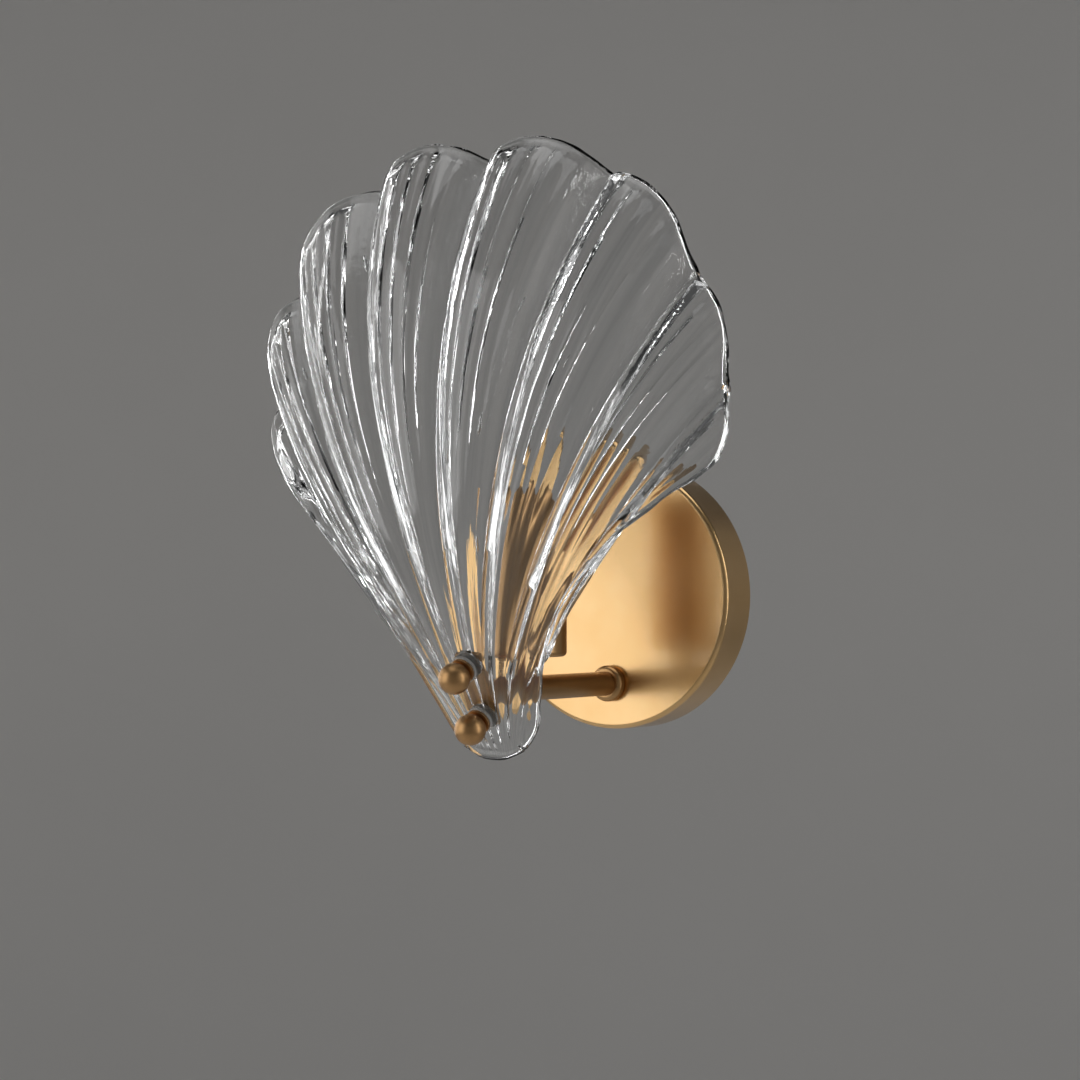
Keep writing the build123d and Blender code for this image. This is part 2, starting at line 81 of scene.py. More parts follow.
# ---------------------------------------------------------------- the glass's own shape, mm
rib_power = 3.14                     # the higher, the flatter a crest and the sharper a valley
crest_round = 0.03                   # rounding of the very top of a crest, in half ribs
back_off = 0.3                       # keeps the glass inside the solid's box
tongue_turn = (15.2, -64.6)          # where the tongue's side becomes its round end
side_rib_share = 0.98                # how much of its rib's shape the cut-off side edge keeps

flutes_in_rib = 6                    # fine flutes on the back of each rib
flutes_in_side_rib = 3               # and of the narrow rib at each side
flute_depth = 1.35
flute_start = 0.38                   # share of the way up where the flutes begin
flute_growth = 0.25                  # and over which they grow

fold_depth = 2.6                     # extra glass behind each valley, high up
fold_width = 0.075                   # half width of that fold, in ribs
fold_start = 0.45                    # share of the way up where it begins
fold_growth = 0.5                    # and over which it grows
fold_at_rim = 0.35                   # share of its depth left at the glass's edge
fold_fade = 7.0                      # this far from the edge it is whole
fold_unevenness = 0.3
fold_swing = 14.0                    # size of its slow swings

neck_wave = 0.95                     # one broad wave to each rib, below the fine flutes
wave_start = 0.05                    # share of the way up where the wave begins
wave_growth = 0.08                   # and over which it grows
wave_stop = 0.7                      # where it has died out
wave_fade = 0.3                      # and over which it dies out

bead_depth = 2.0                     # extra glass behind the whole edge
bead_width = 5.5
bead_unevenness = 0.45
bead_swing = 9.0
even_margin = 8.0                    # flutes and waves die out this close to the edge

edge_radius = 2.4                    # rounding of the front of the edge
edge_flat = 0.2                      # left between the roundings of front and back
rim_unevenness = 0.4
rim_swing = 7.0
rim_margin = 6.0

# ---------------------------------------------------------------- the glass's mesh
ribs = 8
side_rib = 3                         # number of the rib at the side, counted from the middle
columns_in_rib = 36
crowding = 0.085                     # how far columns draw together at the valleys, in ribs
middle_rows = 96
end_steps = (0.0, 0.12, 0.4, 0.9, 1.6, 2.5, 4.0, 6.0)    # rows this far from the glass's edge
rows = middle_rows + 2 * len(end_steps)
line_length = 1.1                    # of a fan line, against the straight way up
line_turn = 6                        # how late a fan line turns to its own point of the scallop
side_turn = 4                        # and how late in the rib at the side
curve_parts = 20                     # steps of the outline from one point to the next
edge_parts = 8                       # steps along the edge from one column or row to the next

cuts = (                             # radius, and from where to where along the stud
    (hole_radius, -4, 12),
    (seat_radius, seat_front, 14),
    (seat_radius, -8, seat_back),
)
bubble_depth = 0.55                  # share of the wall in front of a bubble's middle
bubble_flatness = 0.6                # its thickness against its width
bubbles = (                          # x, height, length, width
    (-52.0, 142.0, 9.0, 2.2), (-44.0, 128.0, 6.0, 1.4), (9.0, 62.0, 15.0, 2.6),
    (24.0, 71.0, 10.0, 1.8), (-22.0, 38.0, 12.0, 2.0), (-58.0, 66.0, 8.0, 1.5),
    (38.0, 120.0, 7.0, 1.3), (-8.0, 108.0, 5.0, 1.1), (61.0, 96.0, 6.0, 1.2),
    (-84.0, 96.0, 7.0, 1.6), (17.0, 22.0, 9.0, 1.5), (-11.0, 5.0, 7.0, 1.3),
)

# ---------------------------------------------------------------- the lamp's glass and light stick, mm
capsule_wall = 0.8
capsule_pinch = 0.9                  # narrowing of the capsule's foot
foot_rings = ((5.2, 0.5), (5.65, 0.7), (lamp_radius, 1.0))    # radius of each ring, and its rise
foot_rise = 2.2                      # of all three
dome_steps = 8
dome_turn = 11                       # degrees to each step of the round top
stick_height = 16.0
stick_radius = 3.1
stick_lift = 0.4                     # above the capsule's foot
strip_margin = 0.5
strip_rise = 0.35
stick_bevel = 0.12

# ---------------------------------------------------------------- stage, light and camera, m and degrees
floor_height = -1.15
floor_radius = 3.2
cove_radius = 1.2
cove_steps = 12
wall_rise = 2.3

lit_point = (0, -0.08, 0.06)
lights = (                           # name, place, width and height, watts
    ("front_card", (-1.35, -1.75, 0.35), (1.7, 2.2), 15.5),
    ("left_card", (-2.05, 0.15, 0.5), (1.0, 1.8), 3),
    ("left_strip", (-2.0, -0.45, 0.3), (0.07, 2.2), 5),
    ("far_left_strip", (-1.75, 0.75, 0.35), (0.07, 1.9), 4.5),
    ("right_card", (1.95, -0.35, 0.6), (0.9, 1.8), 1.5),
    ("right_strip", (1.75, 0.2, 0.35), (0.07, 1.9), 6),
    ("top_card", (0.1, -0.2, 1.9), (1.8, 1.4), 10),
)
room_grey = 0.5
room_glow = 0.15

camera_place = (0.7468, -1.2200, 0.0136)
camera_turn = 33.2
camera_lens = 104.87
film_width = 36.0
frame_pixels = 1080
shift_pixels = 25                    # raises the camera's view while the camera stays level
view_depth = 20.0


# ---------------------------------------------------------------- small tools
def deselect():
    if bpy.context.object and bpy.context.object.mode != "OBJECT":
        bpy.ops.object.mode_set(mode="OBJECT")
    bpy.ops.object.select_all(action="DESELECT")


def pick(piece):
    """Leaves the piece as the only one selected, and as the active one."""
    deselect()
    piece.select_set(True)
    bpy.context.view_layer.objects.active = piece


def edit():
    """Opens the active piece's mesh with all of it selected."""
    bpy.ops.object.mode_set(mode="EDIT")
    bpy.ops.mesh.select_all(action="SELECT")


def settle(piece):
    """Puts the piece's place into its mesh, so that its object sits unturned at the origin."""
    pick(piece)
    bpy.ops.object.transform_apply(location=True, rotation=True, scale=True)
    return piece


def apply(piece, kind, **settings):
    """Adds one modifier with its settings and applies it."""
    pick(piece)
    modifier = piece.modifiers.new(kind.title(), kind)
    for name, value in settings.items():
        setattr(modifier, name, value)
    bpy.ops.object.modifier_apply(modifier=modifier.name)


def smooth(piece, angle):
    pick(piece)
    bpy.ops.object.shade_smooth_by_angle(angle=radians(angle))


def ramp(value, start, length):
    """Nought up to the start, one from the start and the length on, and straight between them."""
    return min(1.0, max(0.0, (value - start) / length))


def bell(distance, width):
    """One at no distance, 1 / 2.72 at the width, and almost nothing at twice the width."""
    return 2.72 ** (-((distance / width) ** 2))


# ---------------------------------------------------------------- shader maths
class Level:
    """A value in a finish's nodes. Sums and products of levels and numbers become Math nodes."""

    def __init__(self, finish, socket):
        self.finish = finish
        self.socket = socket

    def __add__(self, other):
        return self.finish.math("ADD", self, other)

    __radd__ = __add__

    def __sub__(self, other):
        return self.finish.math("SUBTRACT", self, other)

    def __rsub__(self, other):
        return self.finish.math("SUBTRACT", other, self)

    def __mul__(self, other):
        return self.finish.math("MULTIPLY", self, other)

    __rmul__ = __mul__

    def angle_from(self, other):
        return self.finish.math("ARCTAN2", self, other)

    def root(self):
        return self.finish.math("SQRT", self)

    def wave(self):
        return self.finish.math("SINE", self)

    def raised(self):
        return self.finish.math("EXPONENT", self)

    def clipped(self, low, high):
        """Nought below low and one above high, with a soft step between."""
        sockets = {"Value": self, "From Min": low, "From Max": high}
        return self.finish.add("ShaderNodeMapRange", {"interpolation_type": "SMOOTHSTEP"}, sockets)


class Finish:
    """One procedural material, built round a Principled shader."""

    def __init__(self, name, **constants):
        self.material = bpy.data.materials.new(name)
        self.material.use_nodes = True
        self.tree = self.material.node_tree
        self.shader = self.tree.nodes["Principled BSDF"]
        for socket, value in constants.items():
            self.shader.inputs[socket.replace("_", " ")].default_value = value
        self.place = self.add("ShaderNodeTexCoord", {}, {}, "Object")

    def add(self, kind, settings, sockets, result=0):
        """Adds one node: first its settings, then a value or a link for each socket named."""
        node = self.tree.nodes.new(kind)
        for name, value in settings.items():
            setattr(node, name, value)
        for name, value in sockets.items():
            if isinstance(value, Level):
                self.tree.links.new(value.socket, node.inputs[name])
            else:
                node.inputs[name].default_value = value
        return Level(self, node.outputs[result])

    def axis(self, letter):
        """The place along X, Y or Z, in metres."""
        return self.add("ShaderNodeSeparateXYZ", {}, {0: self.place}, letter)

    def math(self, operation, *values):
        return self.add("ShaderNodeMath", {"operation": operation}, dict(enumerate(values)))

    def noise(self, scale, stretch=(1, 1, 1), detail=3.0, roughness=0.55):
        place = self.add("ShaderNodeMapping", {}, {"Scale": stretch, "Vector": self.place})
        sockets = {"Scale": scale, "Detail": detail, "Roughness": roughness, "Vector": place}
        return self.add("ShaderNodeTexNoise", {}, sockets)

    def lines(self, along, scale, detail=2.0):
        """Noise that changes along one value only, such as turned or brushed lines."""
        sockets = {"Scale": scale, "Detail": detail, "W": along}
        return self.add("ShaderNodeTexNoise", {"noise_dimensions": "1D"}, sockets)

    def feed(self, level, socket):
        self.tree.links.new(level.socket, self.shader.inputs[socket])

    def blend(self, share, first, second):
        """Colour between two tints."""
        sockets = {"Factor": share, "A": (*first, 1), "B": (*second, 1)}
        self.feed(self.add("ShaderNodeMix", {"data_type": "RGBA"}, sockets, "Result"), "Base Color")

    def rough(self, level):
        self.feed(level, "Roughness")

    def bump(self, level, depth, strength=1.0):
        sockets = {"Strength": strength, "Distance": depth, "Height": level}
        self.feed(self.add("ShaderNodeBump", {}, sockets), "Normal")


# ---------------------------------------------------------------- materials
def brass(name, grain, light, dark, rough, coat=0.0):
    """Satin brass with fine lines round the canopy's middle, along the arm or round the cup, or with none."""
    finish = Finish(name, Metallic=1.0, Coat_Weight=coat, Coat_Roughness=0.05)
    if grain == "round":
        x, z = finish.axis("X"), finish.axis("Z")
        line = finish.lines((x * x + z * z).root(), 7000.0)
    elif grain == "along":
        line = finish.noise(1.0, stretch=(5200, 90, 5200), detail=2.0)
    elif grain == "turned":
        line = finish.lines(finish.axis("Z"), 5200.0)
    else:
        line = finish.noise(3200.0, detail=2.0)
    cloud = finish.noise(38.0)
    speck = finish.noise(900.0, detail=1.0)
    finish.blend(cloud.clipped(0.25, 0.78), dark, light)
    finish.rough(line * 0.08 + cloud * 0.04 + speck * 0.02 + rough)
    finish.bump(line * 0.85 + speck * 0.15, 0.000012, 0.6)
    return finish.material


def steel(name, tint, thread=None):
    """Zinc-plated steel, or plain brass. A thread's ridges follow each other along Y or along Z."""
    finish = Finish(name, Metallic=1.0)
    cloud = finish.noise(120.0)
    grain = finish.noise(2600.0, stretch=(1, 1, 0.2), detail=2.0)
    finish.blend(cloud.clipped(0.35, 0.7), tint, tuple(0.82 * part for part in tint))
    finish.rough(grain * 0.16 + cloud * 0.14 + 0.2)
    if thread:
        pitch = 0.001
        ridge = (finish.axis(thread) * (2 * pi / pitch)).wave()
        finish.bump(ridge + grain * 0.1, 0.00018)
    else:
        finish.bump(grain, 0.00001, 0.5)
    return finish.material


def pressed_glass(name):
    """Clear thick glass, with pull lines that fan out along the ribs and uneven waves on the folds. Its tint
    is darker in streaks along the fan lines: painted shade that draws the flutes' lines.
    """
    finish = Finish(name, Transmission_Weight=1.0, IOR=1.5, Specular_IOR_Level=0.5)
    x = finish.axis("X")
    rise = finish.axis("Z") - fan_bottom * MM
    spread = (rise + (rise * rise + (2 * fan_spread * MM) ** 2).root()) * 0.5
    angle = x.angle_from(spread)
    from_fan = (x * x + spread * spread).root()
    widening = from_fan * 4.6
    pull = finish.lines(angle, 60.0, detail=3.0) * widening
    ripple = finish.noise(60.0, stretch=(1.0, 1.0, 0.3), detail=2.0)
    cloud = finish.noise(24.0)
    wave = finish.noise(210.0, stretch=(1.0, 1.0, 0.6), detail=3.0, roughness=0.6)
    fold_sharpness = 1900.0
    folds = 0.0
    for valley in valley_angles[:-1]:
        for side in ((1, -1) if valley else (1,)):
            off_fold = angle - side * radians(valley)
            folds = folds + (off_fold * off_fold * -fold_sharpness).raised()
    outer = from_fan.clipped(0.105, 0.2)
    waves = (wave - 0.5) * folds * outer
    # painted shade: streaks of darker tint along the fan lines stand in for the dark lines that the flutes
    # show in the glass
    painted_shade_streak = finish.lines(angle, 34.0, detail=2.0)
    finish.blend(painted_shade_streak.clipped(0.34, 0.62), (0.82, 0.83, 0.835), (0.995, 0.997, 0.995))
    finish.rough(cloud * 0.02 + ripple * 0.015)
    finish.bump(pull * 0.42 + ripple * 0.5 + waves * 2.6, 0.0005, 0.6)
    return finish.material


def glazed(name):
    finish = Finish(name, Coat_Weight=0.3, Coat_Roughness=0.12)
    cloud = finish.noise(60.0)
    speck = finish.noise(1500.0, detail=1.0)
    finish.blend(speck.clipped(0.55, 0.8), (0.83, 0.81, 0.76), (0.74, 0.71, 0.65))
    finish.rough(cloud * 0.2 + 0.25)
    finish.bump(cloud * 0.6 + speck * 0.4, 0.00006, 0.5)
    return finish.material


def moulded(name, light, dark, rough):
    finish = Finish(name)
    grain = finish.noise(1800.0, detail=2.0)
    cloud = finish.noise(90.0)
    finish.blend(cloud.clipped(0.3, 0.75), light, dark)
    finish.rough(grain * 0.12 + rough)
    finish.bump(grain, 0.00003, 0.6)
    return finish.material


def clear_soft(name):
    finish = Finish(name, Transmission_Weight=0.55, IOR=1.43)
    cloud = finish.noise(200.0)
    grain = finish.noise(2500.0, detail=1.0)
    finish.blend(cloud.clipped(0.3, 0.7), (0.90, 0.90, 0.885), (0.95, 0.95, 0.94))
    finish.rough(cloud * 0.12 + 0.18)
    finish.bump(grain, 0.00002, 0.5)
    return finish.material


def frosted(name):
    """Etched glass of the lamp, with a fine even haze."""
    finish = Finish(name, Transmission_Weight=1.0, IOR=1.5)
    grain = finish.noise(2400.0, detail=2.0)
    cloud = finish.noise(150.0)
    finish.blend(cloud.clipped(0.3, 0.7), (0.93, 0.92, 0.89), (0.98, 0.975, 0.96))
    finish.rough(grain * 0.1 + cloud * 0.08 + 0.28)
    finish.bump(grain, 0.00003, 0.6)
    return finish.material


canopy_light, canopy_dark = (0.76, 0.50, 0.235), (0.70, 0.44, 0.185)
brass_canopy = brass("brass_turned_round_the_middle", "round", canopy_light, canopy_dark, 0.17, 0.45)
# The arm, the cup and the small brass parts are the same brass as the canopy. Their darker, browner base
# colours are painted shade, for the darker surroundings they reflect.
brass_arm_painted_shade = brass("brass_brushed_along_painted_shade", "along", (0.50, 0.30, 0.135), (0.44, 0.255, 0.11), 0.24)
brass_cup_painted_shade = brass("brass_turned_up_painted_shade", "turned", (0.52, 0.315, 0.145), (0.46, 0.27, 0.12), 0.25)
brass_small_painted_shade = brass("brass_satin_small_painted_shade", "satin", (0.52, 0.31, 0.14), (0.46, 0.265, 0.115), 0.31)
capsule_frost = frosted("frosted_lamp_glass")
phosphor = moulded("yellow_phosphor", (0.80, 0.60, 0.16), (0.72, 0.52, 0.12), 0.5)
zinc = steel("zinc_plate", (0.66, 0.67, 0.68))
zinc_thread = steel("zinc_thread_out", (0.64, 0.65, 0.67), "Y")
brass_thread = steel("brass_thread_out", (0.66, 0.44, 0.22), "Y")
stem_thread = steel("brass_thread_up", (0.66, 0.44, 0.22), "Z")
shell_clear = pressed_glass("clear_pressed_glass")
ceramic = glazed("white_glazed_ceramic")
block_white = moulded("white_moulded_plastic", (0.80, 0.80, 0.76), (0.72, 0.72, 0.68), 0.45)
bush_black = moulded("black_moulded_rubber", (0.022, 0.022, 0.022), (0.035, 0.035, 0.034), 0.6)
soft_clear = clear_soft("clear_soft_plastic")

finishes = {
    "canopy": brass_canopy,
    "canopy_screws": brass_small_painted_shade,
    "arm_tube": brass_arm_painted_shade,
    "arm_collar": brass_arm_painted_shade,
    "lamp_cup": brass_cup_painted_shade,
    "cup_stem": stem_thread,
    "shell_plate": brass_small_painted_shade,
    "shell_stud_upper": brass_thread,
    "shell_stud_lower": brass_thread,
    "face_washer_upper": brass_small_painted_shade,
    "face_washer_lower": brass_small_painted_shade,
    "ball_nut_upper": brass_small_painted_shade,
    "ball_nut_lower": brass_small_painted_shade,
    "arm_nipple": zinc_thread,
    "lamp_holder": ceramic,
    "lamp_base": ceramic,
    "terminal_block": block_white,
    "cable_bush": bush_black,
    "glass_sleeve_upper": soft_clear,
    "glass_sleeve_lower": soft_clear,
    "soft_washer_upper": soft_clear,
    "soft_washer_lower": soft_clear,
}
for name, node in nodes.items():
    for slot in node.material_slots:
        slot.material = finishes.get(name, zinc)


# ---------------------------------------------------------------- glass shell: its front
def fan_width(height):
    """Spread of the fan at a height."""
    rise = height - fan_bottom
    return (rise + hypot(rise, 2 * fan_spread)) / 2


def fan_angle(x, height):
    return degrees(atan(x / fan_width(height)))


def spine(height):
    """Reach of the shell's front on its centre line."""
    rise = height - neck_height
    bow = max(0.0, rise)
    drop = bow**2 / bow_radius + bow**4 / bow_length**3
    return neck_reach + rise * tan(radians(plate_lean)) - drop


def dome(x, height):
    """Reach of the shell's front without its ribs."""
    spread = fan_width(height)
    grown = spread / (spread**4 + side_radius_spread**4) ** 0.25
    radius = hypot(side_radius_top * grown, side_radius_neck)
    inside = min(abs(x), side_radius_limit * radius)
    root = sqrt(radius**2 - inside**2)
    return spine(height) - (radius - root) - (abs(x) - inside) * inside / root


def rib(angle):
    """Share of the rib's full rise at a fan angle: nought in a valley, one on a crest."""
    side = abs(angle)
    for low, high in zip(valley_angles, valley_angles[1:]):
        if side <= high:
            off_crest = abs(2 * (side - low) / (high - low) - 1)
            return 1 - (off_crest**2 + crest_round**2) ** (rib_power / 2)
    return 0.0


def front(x, height, angle):
    """Reach of the shell's front, with its ribs read at a fan angle."""
    from_fan = hypot(x, fan_width(height))
    depth = rib_rise * max(0.0, from_fan - rib_start) / (rim_radius - rib_start)
    return dome(x, height) - depth * (1 - rib(angle))


def on_front(x, height):
    """Point of the glass's front, whose ribs are read from the fan angle there."""
    return Vector((x, -front(x, height, fan_angle(x, height)), height))


# ---------------------------------------------------------------- glass shell: its outline
def along(points, places):
    """Smooth curve through points, read at each place: places run from 0 to the last point's number."""
    curve = []
    last = len(points) - 1
    for place in places:
        low = min(int(place), last - 1)
        share = place - low
        four = [points[max(0, min(last, low + step))] for step in (-1, 0, 1, 2)]
        before, start, end, after = [Vector(point) for point in four]
        flat = start + share * (end - start)
        bend = (1 - share) * (2 * start - before - end) + share * (2 * end - start - after)
        curve.append(flat + share * (1 - share) / 2 * bend)
    return curve


def arc(start, crest, end, share):
    """Point on the circle through three points, at a share of the way from the first to the last."""
    (ax, az), (bx, bz), (cx, cz) = start, crest, end
    twice = 2 * (ax * (bz - cz) + bx * (cz - az) + cx * (az - bz))
    a2, b2, c2 = ax * ax + az * az, bx * bx + bz * bz, cx * cx + cz * cz
    middle_x = (a2 * (bz - cz) + b2 * (cz - az) + c2 * (az - bz)) / twice
    middle_z = (a2 * (cx - bx) + b2 * (ax - cx) + c2 * (bx - ax)) / twice
    radius = hypot(ax - middle_x, az - middle_z)
    first = atan2(az - middle_z, ax - middle_x)
    last = atan2(cz - middle_z, cx - middle_x)
    if last > first:
        last -= 2 * pi
    turn = first + (last - first) * share
    return Vector((middle_x + radius * cos(turn), middle_z + radius * sin(turn)))


def on_fan(radius, angle):
    return (radius * sin(radians(angle)), fan_bottom + radius * cos(radians(angle)))


notches = [on_fan(radius, angle) for radius, angle in zip(notch_radii, valley_angles)] + [corner]
crest_angles = [(low + high) / 2 for low, high in zip(valley_angles, valley_angles[1:])]
crests = [on_fan(radius, angle) for radius, angle in zip(crest_radii, crest_angles)]
side_line = [corner, *side_points, tongue_turn]
side_steps = curve_parts * (len(side_line) - 1)
side_curve = along(side_line, [step / curve_parts for step in range(side_steps + 1)])
tongue_line = [side_points[-1], tongue_turn, (8.2, -68.3), (0.0, tongue_tip), (-8.2, -68.3)]
tongue_curve = along(tongue_line, [1 + step / curve_parts for step in range(2 * curve_parts + 1)])


def side_angle(height):
    """Fan angle of the shell's side edge at a height."""
    height = max(tongue_turn[1], min(corner[1], height))
    for (high_x, high_z), (low_x, low_z) in zip(side_curve, side_curve[1:]):
        if low_z <= height <= high_z:
            share = (height - low_z) / (high_z - low_z)
            return fan_angle(low_x + share * (high_x - low_x), height)
    return fan_angle(*corner)


def foot_height(angle):
    """Height where a fan line meets the tongue's round end."""
    slope = tan(radians(angle))
    best = min(tongue_curve, key=lambda point: abs(point[0] - slope * fan_width(point[1])))
    return best[1]


# ---------------------------------------------------------------- glass shell: its columns and rows
def climb_at(row, length):
    """Share of the way up a fan line of this length: rows lie close together at both of its ends."""
    near = [step / length for step in end_steps]
    if row < len(near):
        return near[row]
    if row > rows - len(near):
        return 1 - near[rows - row]
    return near[-1] + (1 - 2 * near[-1]) * (row - len(near) + 1) / (middle_rows + 2)


def share_at(step):
    """Number of a column's rib, counted from the middle, and its share of the way across that rib."""
    half = ribs // 2
    ribs_wide = abs(2 * step / (columns_in_rib * ribs) - 1) * half
    number = min(int(ribs_wide + 1e-6), half - 1)
    within = ribs_wide - number
    return number, within - crowding * sin(2 * pi * within)


def column(step):
    """One fan line, as (x, height, angle that its rib is read at) from the tongue up to the rim."""
    number, within = share_at(step)
    at_side = number == side_rib
    low, high = valley_angles[number], valley_angles[number + 1]
    top_x, top_z = arc(notches[number], crests[number], notches[number + 1], within)
    top_angle = fan_angle(top_x, top_z)
    corner_angle = side_angle(corner[1])
    top_share = (top_angle - low) / (corner_angle - low)
    foot_angle = low + within * ((side_angle(tongue_turn[1]) if at_side else high) - low)
    rib_angle = low + within * (corner_angle - low) * side_rib_share if at_side else foot_angle
    foot = foot_height(foot_angle)
    length = line_length * hypot(top_z - foot, top_x)
    mirror = -1 if step < columns_in_rib * ribs / 2 else 1
    line = []
    for row in range(rows + 1):
        climb = climb_at(row, length)
        height = foot + (top_z - foot) * climb
        if at_side:
            share = within + (top_share - within) * climb**side_turn
            turned = low + (side_angle(height) - low) * share
        else:
            turned = foot_angle + (top_angle - foot_angle) * climb**line_turn
        line.append((mirror * fan_width(height) * tan(radians(turned)), height, rib_angle))
    return line


def edge_tree(lines):
    """Points close together all along the glass's edge, to measure how far any other point is from it."""
    rim = [line[-1] for line in lines]
    foot = [line[0] for line in reversed(lines)]
    loop = rim + lines[-1][::-1] + foot + lines[0]
    tree = KDTree(edge_parts * len(loop))
    for number, (start, end) in enumerate(zip(loop, loop[1:])):
        for part in range(edge_parts):
            tree.insert(start + (end - start) * part / edge_parts, edge_parts * number + part)
    tree.balance()
    return tree


# ---------------------------------------------------------------- glass shell: its back and its edge
def wobble(place, size):
    """Slow uneven swing between about -1 and 1, as fire-finished glass has along its edges and folds."""
    return noise.noise(place / size)


def back_swell(place, within, climb, at_side, off_edge):
    """How far the back bulges: flutes, a fold behind each valley, a wave in the neck, a bead at the edge."""
    inner = ramp(off_edge, 0.0, even_margin)
    ridge = abs(sin(pi * (flutes_in_side_rib if at_side else flutes_in_rib) * within))
    flute = flute_depth * (ridge - 0.5) * ramp(climb, flute_start, flute_growth) * inner

    off_valley = within if at_side else min(within, 1 - within)
    kept = fold_at_rim + (1 - fold_at_rim) * ramp(off_edge, 0.0, fold_fade)
    thick = fold_depth * (1 + fold_unevenness * wobble(place, fold_swing)) * kept
    fold = thick * ramp(climb, fold_start, fold_growth) * bell(off_valley, fold_width)

    low_part = ramp(climb, wave_start, wave_growth) * ramp(wave_stop - climb, 0.0, wave_fade)
    wave = neck_wave * low_part * cos(2 * pi * within) * inner

    uneven = 1 + bead_unevenness * wobble(place, bead_swing)
    bead = bead_depth * uneven * bell(off_edge, bead_width)
    return flute + fold + wave + bead


def drawn_in(place, climb, off_edge):
    """The place, drawn in a little where it is near the rim, so that the rim isn't quite even."""
    depth = rim_unevenness * (1 + wobble(place, rim_swing)) * bell(off_edge, rim_margin) * climb**4
    return place - Vector((place.x, 0, place.z - fan_bottom)).normalized() * depth


def rounded(radius, off_edge):
    """How far a round edge of this radius falls back, this far in from it."""
    if off_edge >= radius:
        return 0.0
    return radius * (1 - sqrt(1 - (1 - off_edge / radius) ** 2))


def make_shell():
    """A grid is laid on the glass's front and made a wall. Then it gets its back and its round edge."""
    across = columns_in_rib * ribs
    bpy.ops.mesh.primitive_grid_add(x_subdivisions=across, y_subdivisions=rows, size=2)
    shell = bpy.context.object
    shell.name = "fluted_shell"
    lines = []
    for step in range(across + 1):
        line = [(x, back_off - front(x, height, angle), height) for x, height, angle in column(step)]
        lines.append([Vector(place) for place in line])
    tree = edge_tree(lines)
    mesh = shell.data
    swells = []
    for point in mesh.vertices:
        step = round((point.co.x + 1) / 2 * across)
        row = round((point.co.y + 1) / 2 * rows)
        climb = row / rows
        place = lines[step][row]
        off_edge = tree.find(place)[2]
        if row in (0, rows) or step in (0, across):
            off_edge = 0.0
        number, within = share_at(step)
        swells.append((back_swell(place, within, climb, number == side_rib, off_edge), off_edge))
        point.co = drawn_in(place, climb, off_edge) * MM
    count = len(mesh.vertices)
    wall = glass_wall * MM
    apply(shell, "SOLIDIFY", thickness=wall, offset=-1.0, use_even_offset=False, use_quality_normals=True)
    for number, (swell, off_edge) in enumerate(swells):
        ahead = mesh.vertices[number]
        behind = mesh.vertices[count + number]
        through = (behind.co - ahead.co).normalized()
        behind.co.y += swell * MM
        back_radius = glass_wall + swell - edge_radius - edge_flat
        ahead.co += through * rounded(edge_radius, off_edge) * MM
        behind.co -= through * rounded(back_radius, off_edge) * MM
    return shell


def drill(piece, offset):
    """Cuts one stud's hole through the glass, and the flat ground seat on each side of it."""
    out = Vector((0, -cos(radians(plate_lean)), -sin(radians(plate_lean))))
    up = Vector((0, -sin(radians(plate_lean)), cos(radians(plate_lean))))
    foot = (Vector((0, -plate_reach, -plate_drop)) + offset * up) * MM
    turn = out.to_track_quat("Z", "Y").to_euler()
    for radius, low, high in cuts:
        middle = foot + out * (low + high) / 2 * MM
        depth = (high - low) * MM
        bpy.ops.mesh.primitive_cylinder_add(
            vertices=48, radius=radius * MM, depth=depth, location=middle, rotation=turn
        )
        cutter = settle(bpy.context.object)
        apply(piece, "BOOLEAN", operation="DIFFERENCE", solver="MANIFOLD", object=cutter)
        bpy.data.objects.remove(cutter)


def add_bubbles(piece):
    """Long thin bubbles caught inside the glass, each one a hollow that points up its rib."""
    for x, height, length, width in bubbles:
        low, high = on_front(x, height), on_front(x * 1.02, height + 2.5)
        middle = (low + Vector((0, glass_wall * bubble_depth, 0))) * MM
        turn = (high - low).to_track_quat("Z", "Y").to_euler()
        bpy.ops.mesh.primitive_ico_sphere_add(
            subdivisions=2, radius=0.5 * MM, location=middle, rotation=turn
        )
        bubble = bpy.context.object
        bubble.scale = (width, width * bubble_flatness, length)
        settle(bubble)
        edit()
        bpy.ops.mesh.flip_normals()
        pick(piece)
        bubble.select_set(True)
        bpy.ops.object.join()


shell = make_shell()
for offset in (stud_spacing / 2, -stud_spacing / 2):
    drill(shell, offset)
add_bubbles(shell)
smooth(shell, 50)
shell.data.materials.clear()
shell.data.materials.append(shell_clear)
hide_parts("shell_glass")
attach(shell, "frame")


# ---------------------------------------------------------------- lamp
def grow_ring(radius, wider, up):
    """Extrudes the open ring on top, and gives the new one its own radius and height."""
    bpy.ops.mesh.extrude_region_move()
    bpy.ops.transform.resize(value=(wider / radius, wider / radius, 1))
    bpy.ops.transform.translate(value=(0, 0, up))
    return wider


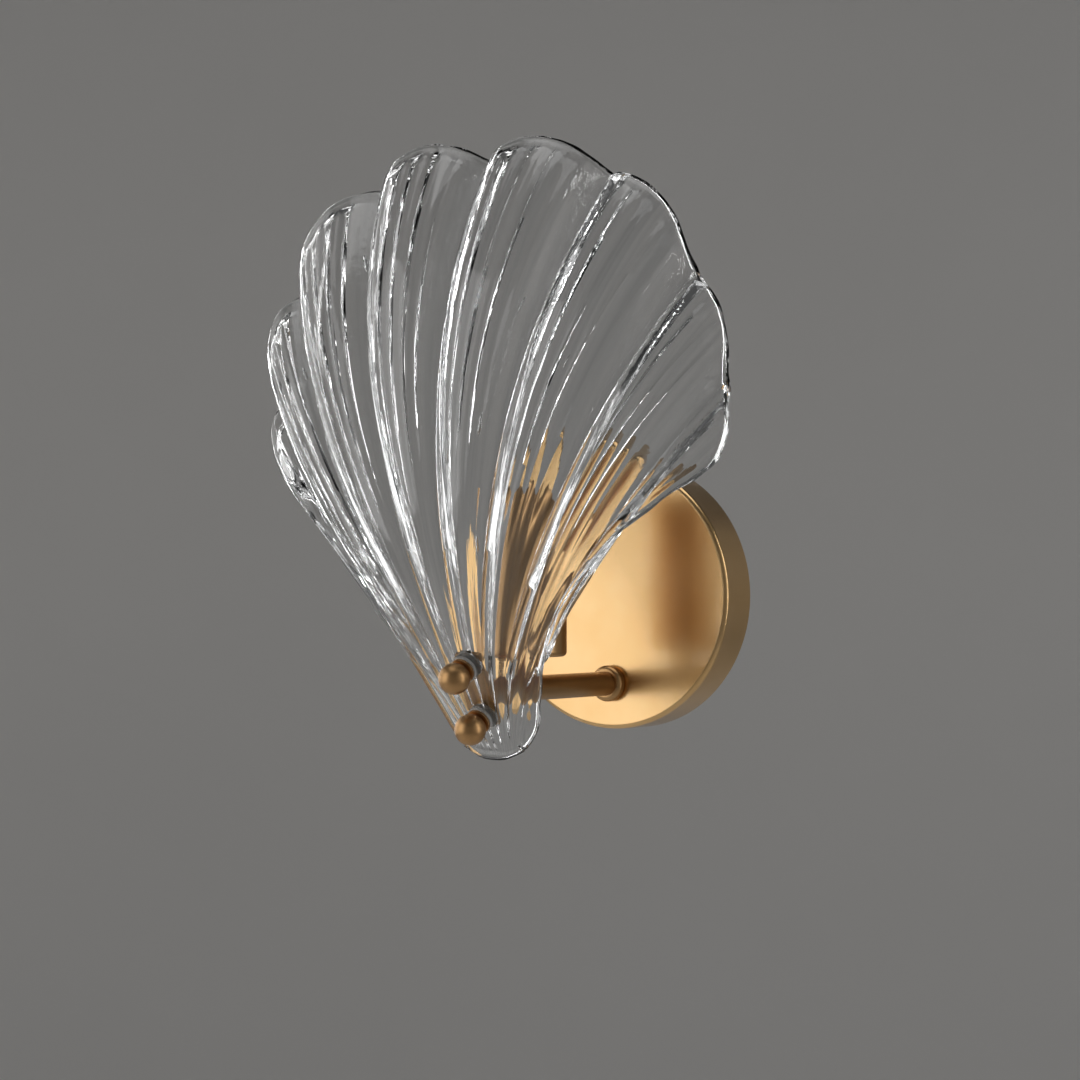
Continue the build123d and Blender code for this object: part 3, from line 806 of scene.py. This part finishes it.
def make_capsule():
    """Frosted capsule: a pinched foot, a straight body and a round top, all one thin wall."""
    foot = (0, -cup_reach * MM, lamp_foot * MM)
    radius = lamp_radius - capsule_pinch
    bpy.ops.mesh.primitive_circle_add(
        vertices=48, radius=radius * MM, fill_type="NOTHING", location=foot
    )
    capsule = bpy.context.object
    capsule.name = "lamp_capsule"
    edit()
    straight = lamp_top - lamp_foot - lamp_radius - foot_rise
    for wider, up in (*foot_rings, (lamp_radius, straight)):
        radius = grow_ring(radius, wider, up * MM)
    for step in range(1, dome_steps + 1):
        turn, before = radians(dome_turn * step), radians(dome_turn * (step - 1))
        up = lamp_radius * (sin(turn) - sin(before))
        radius = grow_ring(radius, lamp_radius * cos(turn), up * MM)
    bpy.ops.mesh.edge_face_add()
    bpy.ops.mesh.poke()
    bpy.ops.mesh.select_all(action="SELECT")
    bpy.ops.mesh.normals_make_consistent(inside=False)
    settle(capsule)
    apply(capsule, "SOLIDIFY", thickness=capsule_wall * MM, offset=-1.0, use_even_offset=True)
    smooth(capsule, 40)
    capsule.data.materials.append(capsule_frost)
    return capsule


def make_light_stick():
    """Six-sided stick inside the capsule, with a raised strip of phosphor on each side."""
    middle = (0, -cup_reach * MM, (lamp_foot + stick_lift + stick_height / 2) * MM)
    bpy.ops.mesh.primitive_cylinder_add(
        vertices=6, radius=stick_radius * MM, depth=stick_height * MM, location=middle
    )
    stick = bpy.context.object
    stick.name = "lamp_light_stick"
    for face in stick.data.polygons:
        face.select = abs(face.normal.z) < 0.5
    bpy.ops.object.mode_set(mode="EDIT")
    bpy.ops.mesh.select_mode(type="FACE")
    bpy.ops.mesh.inset(thickness=strip_margin * MM, use_individual=True)
    bpy.ops.mesh.extrude_faces_move(TRANSFORM_OT_shrink_fatten={"value": strip_rise * MM})
    settle(stick)
    width = stick_bevel * MM
    apply(stick, "BEVEL", width=width, segments=2, limit_method="ANGLE", angle_limit=radians(40))
    smooth(stick, 30)
    stick.data.materials.append(phosphor)
    return stick


capsule = make_capsule()
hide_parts("lamp_glass")
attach(capsule, "lamp")
light_stick = make_light_stick()
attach(light_stick, "lamp")


# ---------------------------------------------------------------- stage, light and camera
def studio():
    """Pale floor that curves up all round into a pale wall, far from the lamp."""
    radius = floor_radius
    place = (0, 0, floor_height)
    bpy.ops.mesh.primitive_circle_add(vertices=96, radius=radius, fill_type="NGON", location=place)
    floor = bpy.context.object
    floor.name = "floor"
    edit()
    cove_turn = 90 / cove_steps
    for step in range(1, cove_steps + 1):
        turn = radians(cove_turn * step)
        before = turn - radians(cove_turn)
        up = cove_radius * (cos(before) - cos(turn))
        radius = grow_ring(radius, floor_radius + cove_radius * sin(turn), up)
    grow_ring(radius, radius, wall_rise)
    bpy.ops.mesh.delete(type="ONLY_FACE")
    settle(floor)
    smooth(floor, 60)
    pale = Finish("pale_floor", Roughness=0.85)
    pale.blend(pale.noise(1.2).clipped(0.2, 0.8), (0.84, 0.83, 0.815), (0.87, 0.86, 0.845))
    floor.data.materials.append(pale.material)


def soft_light(name, place, size, watts):
    bpy.ops.object.light_add(type="AREA", location=place)
    light = bpy.context.object
    light.name = name
    light.data.shape = "RECTANGLE"
    light.data.size, light.data.size_y = size
    light.data.energy = watts
    light.rotation_euler = (Vector(lit_point) - Vector(place)).to_track_quat("-Z", "Y").to_euler()


studio()
for name, place, size, watts in lights:
    soft_light(name, place, size, watts)

world = bpy.data.worlds.new("room")
world.use_nodes = True
background = world.node_tree.nodes["Background"]
background.inputs["Color"].default_value = (room_grey, room_grey, room_grey, 1)
background.inputs["Strength"].default_value = room_glow
bpy.context.scene.world = world
bpy.context.scene.view_settings.view_transform = "Standard"

bpy.ops.object.camera_add(location=camera_place, rotation=(radians(90), 0, radians(camera_turn)))
camera = bpy.context.object
camera.data.lens = camera_lens
camera.data.sensor_width = film_width
camera.data.shift_y = shift_pixels / frame_pixels
camera.data.clip_end = view_depth
bpy.context.scene.camera = camera

deselect()
